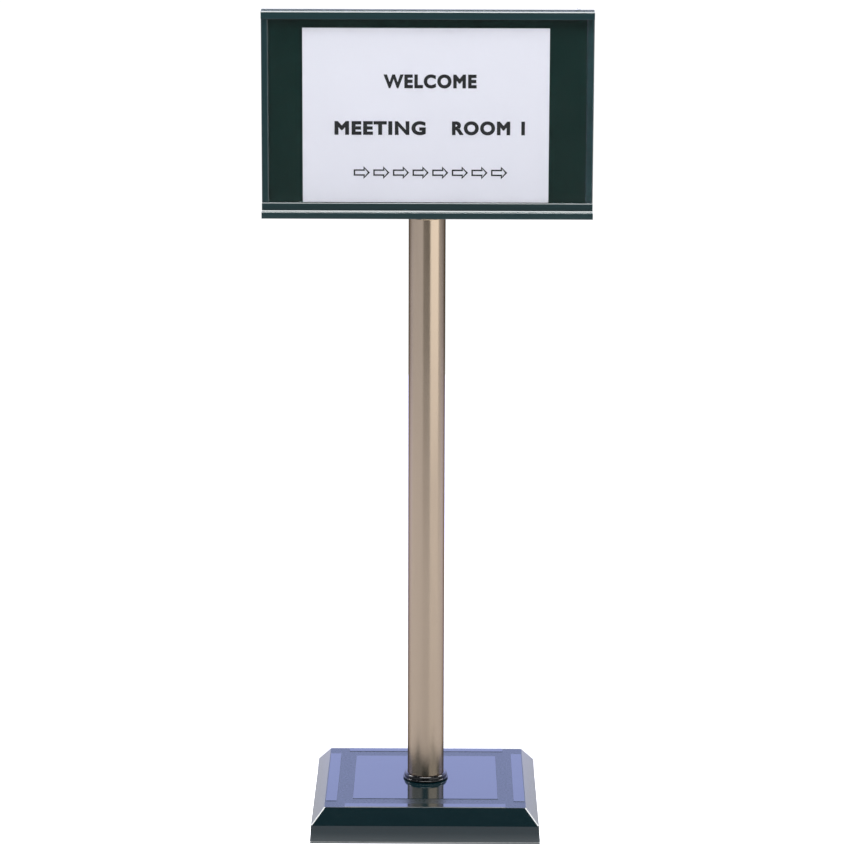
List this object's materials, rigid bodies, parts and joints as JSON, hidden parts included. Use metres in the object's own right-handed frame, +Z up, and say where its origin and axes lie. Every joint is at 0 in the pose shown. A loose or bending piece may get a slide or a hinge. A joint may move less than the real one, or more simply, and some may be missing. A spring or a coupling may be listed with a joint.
{
  "type": "sign stand",
  "caption": "Free-standing floor sign: weighted square base, round post and a swivelling landscape frame with a clear cover over a poster sheet.",
  "frame": {"origin": "middle of the footprint, on the floor under the feet", "axes": "+Z up along the post, -Y out of the front of the sign, +X to the right of someone reading it"},
  "size_m": [0.4, 0.281, 1.0016],
  "materials": {
    "base": "gloss moulding with fine-grained fields",
    "ring": "gloss black, soft",
    "feet": "matt",
    "ballast": "rough, painted black",
    "post": "champagne anodised, satin",
    "plugs": "natural nylon",
    "swivel": "zinc plated",
    "fasteners": "zinc plated",
    "rails": "satin extrusion",
    "board": "smooth",
    "clear_cover": "clear acrylic with polished edges",
    "poster": "printed sheet"
  },
  "bodies": {
    "stand": {"base_shell": "base", "base_ring": "ring", "ballast_plate": "ballast", "bottom_cover": "board", "foot_back_left": "feet", "foot_back_right": "feet", "foot_front_left": "feet", "foot_front_right": "feet", "cover_screw_back": "fasteners", "cover_screw_front": "fasteners", "cover_screw_left": "fasteners", "cover_screw_right": "fasteners", "base_bolt": "fasteners", "base_washer": "fasteners", "lower_plug": "plugs", "post_tube": "post", "upper_plug": "plugs", "thrust_washer": "plugs"},
    "head": {"head_spigot": "swivel", "flange_screw_left": "fasteners", "flange_screw_right": "fasteners", "nut_plate": "swivel", "bottom_rail": "rails", "top_rail": "rails", "board_lock_screw": "fasteners", "backing_board": "board", "rear_board": "board", "left_side_trim": "rails", "right_side_trim": "rails", "chamber_plug_left": "rails", "chamber_plug_right": "rails"},
    "cover": {"clear_cover": "clear_cover"},
    "poster": {"poster_sheet": "poster"}
  },
  "joints": [
    {"name": "head_swivel", "type": "hinge", "parent": "stand", "child": "head", "pos_m": [0, 0, 0.75], "axis": [0, 0, 1], "continuous": true},
    {"name": "cover_slide", "type": "slide", "parent": "head", "child": "cover", "axis": [1, 0, 0], "range_m": [0, 0.38]},
    {"name": "poster_slide", "type": "slide", "parent": "head", "child": "poster", "axis": [1, 0, 0], "range_m": [0, 0.34]}
  ]
}
